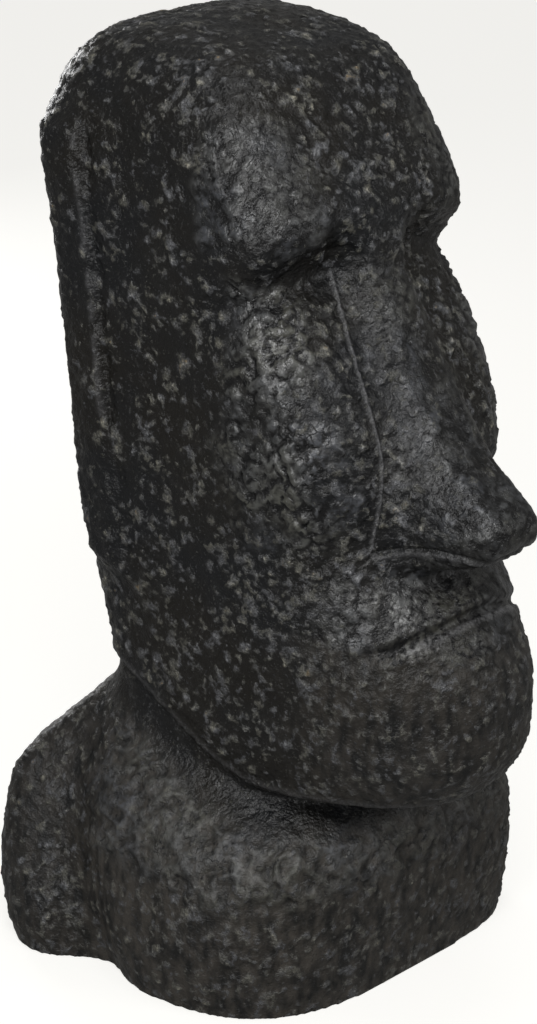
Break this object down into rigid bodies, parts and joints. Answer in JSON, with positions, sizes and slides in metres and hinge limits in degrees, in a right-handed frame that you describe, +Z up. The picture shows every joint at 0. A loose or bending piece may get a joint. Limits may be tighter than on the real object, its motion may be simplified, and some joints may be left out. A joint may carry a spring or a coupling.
{
  "type": "stone head statue",
  "caption": "Tall stylised stone head with a heavy brow, long nose and slab ears, on its own low shoulders, cast in one piece with a flat underside.",
  "frame": {"origin": "on the floor under the middle of the base, in the head's centre plane", "axes": "+Z up; the face looks along -Y; +X is the figure's left"},
  "size_m": [0.2974, 0.3447, 0.595],
  "materials": {
    "black_cast_stone": "satin black cast stone with pale flecks"
  },
  "bodies": {
    "root": {"moai_statue": "black_cast_stone"}
  },
  "joints": []
}
